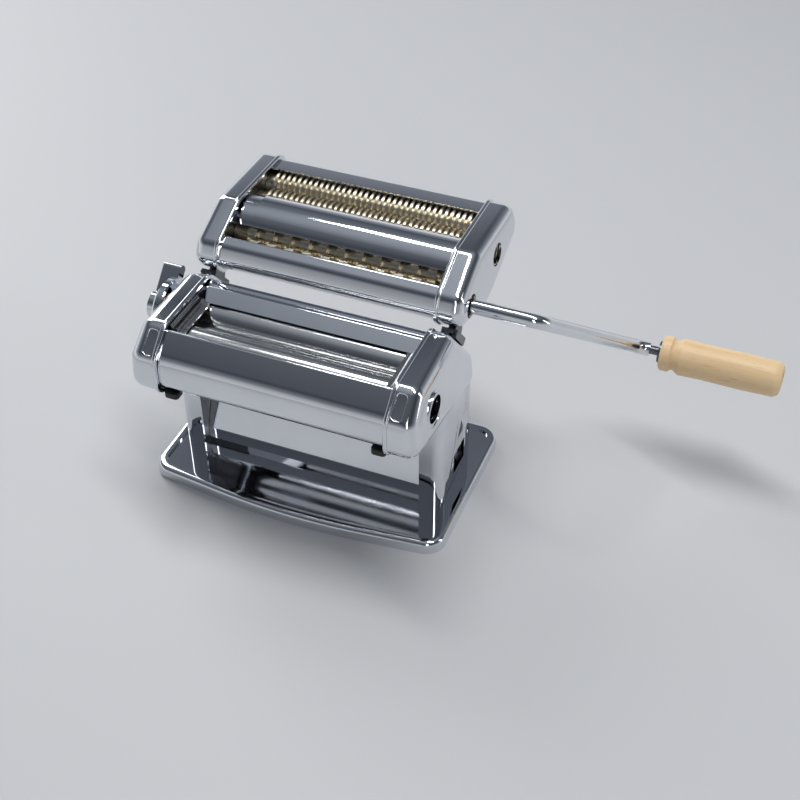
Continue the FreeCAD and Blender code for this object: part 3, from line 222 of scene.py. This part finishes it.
@dataclass(frozen=True)
class Beech:
    """Turned and lightly oiled beech: pale, fine straight grain with short darker flecks."""

    name: str = "turned_beech"
    pale: str = "#efd6ae"
    warm: str = "#dfb987"
    fleck: str = "#b98450"
    gloss: float = 0.42
    shine: float = 0.4
    grain_mm: float = 5.0
    grain_detail: float = 4.0
    grain_stretch: tuple[float, float, float] = (0.06, 1.0, 1.0)
    fleck_mm: float = 1.1
    fleck_detail: float = 2.0
    fleck_stretch: tuple[float, float, float] = (0.12, 1.0, 1.0)
    fleck_span: tuple[float, float] = (0.60, 0.78)
    fleck_share: float = 0.5
    bump_mm: float = 0.2
    bump_strength: float = 0.2

    def build(self) -> bpy.types.Material:
        """Make the material.

        Returns:
            A node material with grain along the handle and short flecks.
        """
        material, tree, shader = new_material(self.name)
        shader.inputs["Roughness"].default_value = self.gloss
        shader.inputs["Specular IOR Level"].default_value = self.shine
        place = add_node(tree, "ShaderNodeTexCoord")
        along = add_node(tree, "ShaderNodeMapping", {"Scale": self.grain_stretch},
                         {"Vector": place.outputs["Object"]})
        grain = add_node(tree, "ShaderNodeTexNoise",
                         {"Scale": 1 / (self.grain_mm * MM), "Detail": self.grain_detail},
                         {"Vector": along.outputs["Vector"]})
        tone = add_node(tree, "ShaderNodeMix", {"A": linear(self.pale), "B": linear(self.warm)},
                        {"Factor": grain.outputs["Fac"]}, data_type="RGBA")
        short = add_node(tree, "ShaderNodeMapping", {"Scale": self.fleck_stretch},
                         {"Vector": place.outputs["Object"]})
        flecks = add_node(tree, "ShaderNodeTexNoise",
                          {"Scale": 1 / (self.fleck_mm * MM), "Detail": self.fleck_detail},
                          {"Vector": short.outputs["Vector"]})
        least, most = self.fleck_span
        picked = add_node(
            tree, "ShaderNodeMapRange",
            {"From Min": least, "From Max": most, "To Min": 0.0, "To Max": self.fleck_share},
            {"Value": flecks.outputs["Fac"]})
        wood = add_node(tree, "ShaderNodeMix", {"B": linear(self.fleck)},
                        {"Factor": picked.outputs["Result"], "A": tone.outputs["Result"]},
                        data_type="RGBA")
        tree.links.new(wood.outputs["Result"], shader.inputs["Base Color"])
        dent = add_node(tree, "ShaderNodeBump",
                        {"Strength": self.bump_strength, "Distance": self.bump_mm * MM},
                        {"Height": flecks.outputs["Fac"]})
        tree.links.new(dent.outputs["Normal"], shader.inputs["Normal"])
        return material


FINISHES = {
    # Chrome over polished sheet steel: a clear, slightly cool mirror with broad wiping marks
    Slot.POLISHED: Metal("chrome_plated_steel", "#e6e8ec", "#d9dce2",
                         gloss=0.03, haze=0.09, mark_mm=26.0),
    # Steel ground on a lathe: streaks along the roller that blur what it mirrors
    Slot.ROLLER: Metal("ground_roller_steel", "#dcdddd", "#c6c7c8", gloss=0.12, haze=0.24,
                       mark_mm=6.0, grain=(0.1, 1.0, 1.0), bump_mm=0.01),
    # Zinc plate on the inner steel: dull grey with a soft, uneven sheen
    Slot.FRAME: Metal("dull_zinc_plated_steel", "#75777b", "#606266",
                      gloss=0.3, haze=0.42, mark_mm=9.0),
    # Sintered bearing bronze: warm brown and matt
    Slot.BRONZE: Metal("bearing_bronze", "#c9a468", "#a9834c",
                       gloss=0.28, haze=0.4, mark_mm=3.0),
    # Machined pale brass: champagne with a satin sparkle on each disc
    Slot.BRASS: Metal("pale_cutter_brass", "#d6cebc", "#c1b7a0",
                      gloss=0.28, haze=0.4, mark_mm=4.0),
    # Moulded black plastic: deep black with a soft, grainy shine
    Slot.PLASTIC: Plastic("moulded_black_plastic", "#101011",
                          gloss=0.38, haze=0.55, grain_mm=0.5),
    Slot.BEECH: Beech(),
}


class Wardrobe:
    """Makes each finish once and dresses pieces in it."""

    def __init__(self) -> None:
        """Make every finish."""
        self.materials = {slot: finish.build() for slot, finish in FINISHES.items()}

    def dress(self, piece: bpy.types.Object, slot: Slot, body: str) -> None:
        """Give a piece its finish and let it move with its body.

        Args:
            piece: Finished piece in the row frame.
            slot: Record slot that the finish comes from.
            body: CAD body that the piece moves with.
        """
        piece.data.materials.clear()
        piece.data.materials.append(self.materials[slot])
        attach(piece, body)
        LOG.info("%s: %d faces, %s", piece.name, len(piece.data.polygons), slot.value)


def link_mesh(name: str, mesh_source: bmesh.types.BMesh) -> bpy.types.Object:
    """Turn a bmesh into an object at the origin.

    Args:
        name: Name of the new object.
        mesh_source: The bmesh, which is freed.

    Returns:
        The linked object.
    """
    mesh = bpy.data.meshes.new(name)
    mesh_source.to_mesh(mesh)
    mesh_source.free()
    piece = bpy.data.objects.new(name, mesh)
    bpy.context.scene.collection.objects.link(piece)
    return piece


def skin(node: str, edge_mm: float) -> bpy.types.Object:
    """Copy a CAD node as one closed smooth-shaded surface that stands for it.

    Args:
        node: CAD node to copy.
        edge_mm: Width of the softened edges, or 0 for none.

    Returns:
        The new piece.
    """
    shell = bmesh.new()
    shell.from_mesh(frame["nodes"][node].data)
    bmesh.ops.remove_doubles(shell, verts=shell.verts, dist=WELD_MM * MM)
    if edge_mm > 0:
        bmesh.ops.dissolve_limit(shell, angle_limit=math.radians(FLAT_DEG),
                                 verts=shell.verts, edges=shell.edges)
    limit = math.radians(CREASE_DEG)
    for face in shell.faces:
        face.smooth = True
    for edge in shell.edges:
        edge.smooth = len(edge.link_faces) == 2 and edge.calc_face_angle(0.0) < limit
    piece = link_mesh(node + "_skin", shell)
    if edge_mm > 0:
        soft = piece.modifiers.new("soft_edges", "BEVEL")
        soft.width = edge_mm * MM
        soft.segments = SOFT_SEGMENTS
        soft.limit_method = "ANGLE"
        soft.angle_limit = limit
        soft.harden_normals = True
    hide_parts(node)
    return piece


@dataclass
class SubAssembly:
    """A group of CAD nodes that are skinned and dressed together."""

    wardrobe: Wardrobe
    nodes: dict[str, Slot] = field(default_factory=dict)
    soft_mm: dict[str, float] = field(default_factory=dict)

    def build(self) -> dict[str, bpy.types.Object]:
        """Skin every node of the group.

        Returns:
            The new pieces by the node that each stands for.
        """
        return {node: skin(node, self.soft_mm.get(node, 0.0)) for node in self.nodes}

    def dress(self, pieces: dict[str, bpy.types.Object]) -> None:
        """Give every piece its finish and its body.

        Args:
            pieces: What build returned.
        """
        for node, piece in pieces.items():
            self.wardrobe.dress(piece, self.nodes[node], BODY_OF[node])


@dataclass
class Machine(SubAssembly):
    """Tray, casings, frames and covers that stand on the counter."""

    nodes: dict[str, Slot] = field(default_factory=lambda: {
        "base_tray": Slot.POLISHED,
        "right_side_casing": Slot.POLISHED,
        "left_side_casing": Slot.POLISHED,
        "front_cover": Slot.POLISHED,
        "rear_cover": Slot.POLISHED,
        "pasta_chute": Slot.POLISHED,
        "right_side_frame": Slot.FRAME,
        "left_side_frame": Slot.FRAME,
        "front_scraper": Slot.FRAME,
        "rear_scraper": Slot.FRAME,
        "dough_guides": Slot.ROLLER,
        "cover_clips": Slot.PLASTIC,
        "tie_rods": Slot.FRAME,
        "tie_rod_nuts": Slot.FRAME,
        "base_screws": Slot.FRAME,
        "drive_bushes": Slot.BRONZE,
        "knob_bush": Slot.BRONZE,
        "right_cutter_rail": Slot.FRAME,
        "left_cutter_rail": Slot.FRAME,
    })
    soft_mm: dict[str, float] = field(default_factory=lambda: {
        "right_side_casing": PRESSED_EDGE_MM,
        "left_side_casing": PRESSED_EDGE_MM,
        "cover_clips": CLIP_EDGE_MM,
    })


@dataclass
class SmoothRollers(SubAssembly):
    """Drive roller and idler with their gears and the idler's sliding carriage."""

    nodes: dict[str, Slot] = field(default_factory=lambda: {
        "drive_roller": Slot.ROLLER,
        "drive_gear": Slot.FRAME,
        "idler_roller": Slot.ROLLER,
        "idler_gear": Slot.FRAME,
        "left_idler_block": Slot.FRAME,
        "right_idler_block": Slot.FRAME,
        "idler_yoke": Slot.FRAME,
    })


@dataclass
class ThicknessAdjuster(SubAssembly):
    """Thickness knob on its stem and cam."""

    nodes: dict[str, Slot] = field(default_factory=lambda: {
        "adjuster_cam": Slot.FRAME,
        "knob_nut": Slot.FRAME,
        "thickness_knob": Slot.POLISHED,
    })
    soft_mm: dict[str, float] = field(default_factory=lambda: {"thickness_knob": KNOB_EDGE_MM})


@dataclass
class CutterUnit(SubAssembly):
    """Casings, covers, combs and shoes of the cutter unit."""

    nodes: dict[str, Slot] = field(default_factory=lambda: {
        "right_cutter_casing": Slot.POLISHED,
        "left_cutter_casing": Slot.POLISHED,
        "cutter_front_cover": Slot.POLISHED,
        "cutter_bridge": Slot.POLISHED,
        "cutter_rear_cover": Slot.POLISHED,
        "right_cutter_frame": Slot.FRAME,
        "left_cutter_frame": Slot.FRAME,
        "cutter_bushes": Slot.BRONZE,
        "cutter_tie_rods": Slot.FRAME,
        "cutter_shoes": Slot.FRAME,
        "wide_comb_front": Slot.FRAME,
        "wide_comb_rear": Slot.FRAME,
        "fine_comb_front": Slot.FRAME,
        "fine_comb_rear": Slot.FRAME,
    })
    soft_mm: dict[str, float] = field(default_factory=lambda: {
        "right_cutter_casing": PRESSED_EDGE_MM,
        "left_cutter_casing": PRESSED_EDGE_MM,
    })


@dataclass
class CutterRolls(SubAssembly):
    """The four interleaved cutters and their gears."""

    nodes: dict[str, Slot] = field(default_factory=lambda: {
        "wide_cutter_front": Slot.BRASS,
        "wide_cutter_rear": Slot.BRASS,
        "fine_cutter_front": Slot.BRASS,
        "fine_cutter_rear": Slot.BRASS,
        "wide_gear_front": Slot.FRAME,
        "wide_gear_rear": Slot.FRAME,
        "fine_gear_front": Slot.FRAME,
        "fine_gear_rear": Slot.FRAME,
    })


@dataclass
class Crank(SubAssembly):
    """Bent crank with its pin, washer and wooden handle."""

    nodes: dict[str, Slot] = field(default_factory=lambda: {
        "crank_rod": Slot.POLISHED,
        "handle_pin": Slot.FRAME,
        "handle_washer": Slot.FRAME,
        "crank_handle": Slot.BEECH,
    })


@dataclass(frozen=True)
class Lamp:
    """Soft oblong lamp that faces the machine."""

    name: str
    place: tuple[float, float, float]
    size_m: tuple[float, float]
    power_w: float
    aim: tuple[float, float, float] = (0.0, 0.0, 0.1)

    def build(self) -> None:
        """Hang the lamp."""
        data = bpy.data.lights.new(self.name, "AREA")
        data.shape = "RECTANGLE"
        data.size, data.size_y = self.size_m
        data.energy = self.power_w
        lamp = bpy.data.objects.new(self.name, data)
        towards = Vector(self.aim) - Vector(self.place)
        turn = towards.to_track_quat("-Z", "Y").to_matrix().to_4x4()
        lamp.matrix_world = Matrix.Translation(self.place) @ turn
        bpy.context.scene.collection.objects.link(lamp)


@dataclass
class Studio:
    """Pale floor, a graded room for the polish to mirror, soft lamps and the camera."""

    floor_colour: str = "#c9cacc"
    floor_half_m: float = 6.0
    floor_gloss: float = 0.55
    fade_m: tuple[float, float] = (0.7, 2.2)
    # Colours of the room from level, 0, to straight up, 1, with the two ends first
    room_colours: tuple[tuple[float, str], ...] = (
        (0.0, "#e9eaec"), (1.0, "#b9bfc7"), (0.16, "#d5d8dc"), (0.34, "#90959d"),
        (0.58, "#4e525a"), (0.82, "#6e737b"))
    window_side: tuple[float, float, float] = (-0.75, 0.66, 0.0)
    room_light: tuple[float, float] = (0.45, 1.15)
    lamps: tuple[Lamp, ...] = (
        Lamp("window", (-1.5, 1.1, 1.2), (0.7, 1.5), 15.0),
        Lamp("overhead", (0.1, 0.2, 1.9), (1.8, 0.2), 22.0),
        Lamp("front_strip", (0.8, -1.5, 1.0), (0.3, 1.2), 4.0),
        Lamp("right_strip", (1.7, 0.3, 0.8), (0.3, 1.2), 4.0),
    )
    azimuth_deg: float = 22.31
    elevation_deg: float = 40.89
    roll_deg: float = -0.36
    camera_place: tuple[float, float, float] = (0.31982, -0.64271, 0.67414)
    focal_px: float = 1366.6
    image_px: int = 800
    sensor_mm: float = 36.0
    clip_start_m: float = 0.01

    def build(self) -> None:
        """Set the floor, the light and the camera."""
        self.build_floor()
        self.build_world()
        for lamp in self.lamps:
            lamp.build()
        self.build_camera()

    def build_floor(self) -> None:
        """Lay a plain pale counter that fades into the backdrop far from the machine."""
        plane = bmesh.new()
        bmesh.ops.create_grid(plane, x_segments=1, y_segments=1, size=self.floor_half_m)
        floor = link_mesh("counter", plane)
        material, tree, shader = new_material("pale_counter")
        shader.inputs["Base Color"].default_value = linear(self.floor_colour)
        shader.inputs["Roughness"].default_value = self.floor_gloss
        place = add_node(tree, "ShaderNodeTexCoord")
        away = add_node(tree, "ShaderNodeVectorMath", links={0: place.outputs["Object"]},
                        operation="LENGTH")
        near, far = self.fade_m
        fade = add_node(tree, "ShaderNodeMapRange", {"From Min": near, "From Max": far},
                        {"Value": away.outputs["Value"]}, interpolation_type="SMOOTHSTEP")
        glow = add_node(tree, "ShaderNodeEmission", {"Color": linear(self.floor_colour)})
        share = add_node(tree, "ShaderNodeMath", operation="MULTIPLY", links={
            0: fade.outputs["Result"], 1: self.seen_rays(tree)})
        blend = add_node(tree, "ShaderNodeMixShader", links={
            0: share.outputs["Value"],
            1: shader.outputs["BSDF"],
            2: glow.outputs["Emission"]})
        tree.links.new(blend.outputs["Shader"], tree.nodes["Material Output"].inputs["Surface"])
        floor.data.materials.append(material)

    @staticmethod
    def seen_rays(tree: bpy.types.NodeTree) -> bpy.types.NodeSocket:
        """Tell rays that show the background, straight or in a mirror, from rays that light.

        Args:
            tree: Node tree to add to.

        Returns:
            A socket that is 1 for camera, glossy and transmission rays.
        """
        path = add_node(tree, "ShaderNodeLightPath")
        either = add_node(tree, "ShaderNodeMath", operation="MAXIMUM", links={
            0: path.outputs["Is Camera Ray"], 1: path.outputs["Is Glossy Ray"]})
        seen = add_node(tree, "ShaderNodeMath", operation="MAXIMUM", links={
            0: either.outputs["Value"], 1: path.outputs["Is Transmission Ray"]})
        return seen.outputs["Value"]

    def build_world(self) -> None:
        """Wrap the machine in a room with pale walls, a dim ceiling and a brighter window side."""
        world = bpy.data.worlds.new("soft_room")
        world.use_nodes = True
        tree = world.node_tree
        place = add_node(tree, "ShaderNodeTexCoord")
        parts = add_node(tree, "ShaderNodeSeparateXYZ",
                         links={"Vector": place.outputs["Generated"]})
        height = add_node(tree, "ShaderNodeValToRGB", links={"Fac": parts.outputs["Z"]})
        ramp = height.color_ramp
        for index, (stop, code) in enumerate(self.room_colours):
            spot = ramp.elements[index] if index < 2 else ramp.elements.new(stop)
            spot.position = stop
            spot.color = linear(code)
        side = add_node(tree, "ShaderNodeVectorMath", {1: self.window_side},
                        {0: place.outputs["Generated"]}, operation="DOT_PRODUCT")
        dim, bright = self.room_light
        glow = add_node(
            tree, "ShaderNodeMapRange",
            {"From Min": -1.0, "From Max": 1.0, "To Min": dim, "To Max": bright},
            {"Value": side.outputs["Value"]})
        room = tree.nodes["Background"]
        tree.links.new(height.outputs["Color"], room.inputs["Color"])
        tree.links.new(glow.outputs["Result"], room.inputs["Strength"])
        backdrop = add_node(tree, "ShaderNodeBackground", {"Color": linear(self.floor_colour)})
        path = add_node(tree, "ShaderNodeLightPath")
        blend = add_node(tree, "ShaderNodeMixShader", links={
            0: path.outputs["Is Camera Ray"],
            1: room.outputs["Background"],
            2: backdrop.outputs["Background"]})
        tree.links.new(blend.outputs["Shader"], tree.nodes["World Output"].inputs["Surface"])
        bpy.context.scene.world = world

    def build_camera(self) -> None:
        """Place the camera where the photograph was taken."""
        azimuth = math.radians(self.azimuth_deg)
        elevation = math.radians(self.elevation_deg)
        roll = math.radians(self.roll_deg)
        level = Vector((math.cos(azimuth), math.sin(azimuth), 0.0))
        back = Vector((
            math.sin(azimuth) * math.cos(elevation),
            -math.cos(azimuth) * math.cos(elevation),
            math.sin(elevation)))
        upright = back.cross(level)
        right = level * math.cos(roll) + upright * math.sin(roll)
        up = back.cross(right)
        data = bpy.data.cameras.new("photo_camera")
        data.sensor_width = self.sensor_mm
        data.lens = self.focal_px / self.image_px * self.sensor_mm
        data.clip_start = self.clip_start_m
        camera = bpy.data.objects.new("photo_camera", data)
        turn = Matrix((right, up, back)).transposed().to_4x4()
        camera.matrix_world = Matrix.Translation(self.camera_place) @ turn
        bpy.context.scene.collection.objects.link(camera)
        bpy.context.scene.camera = camera
        bpy.context.scene.view_settings.view_transform = "Standard"


def main() -> None:
    """Build the studio and dress every sub-assembly."""
    logging.basicConfig(level=logging.INFO, format="%(name)s %(message)s")
    Studio().build()
    wardrobe = Wardrobe()
    groups = (Machine, SmoothRollers, ThicknessAdjuster, CutterUnit, CutterRolls, Crank)
    for kind in groups:
        group = kind(wardrobe)
        pieces = group.build()
        group.dress(pieces)
        LOG.info("%s: %d pieces", kind.__name__, len(pieces))


if __name__ == "__main__":
    main()
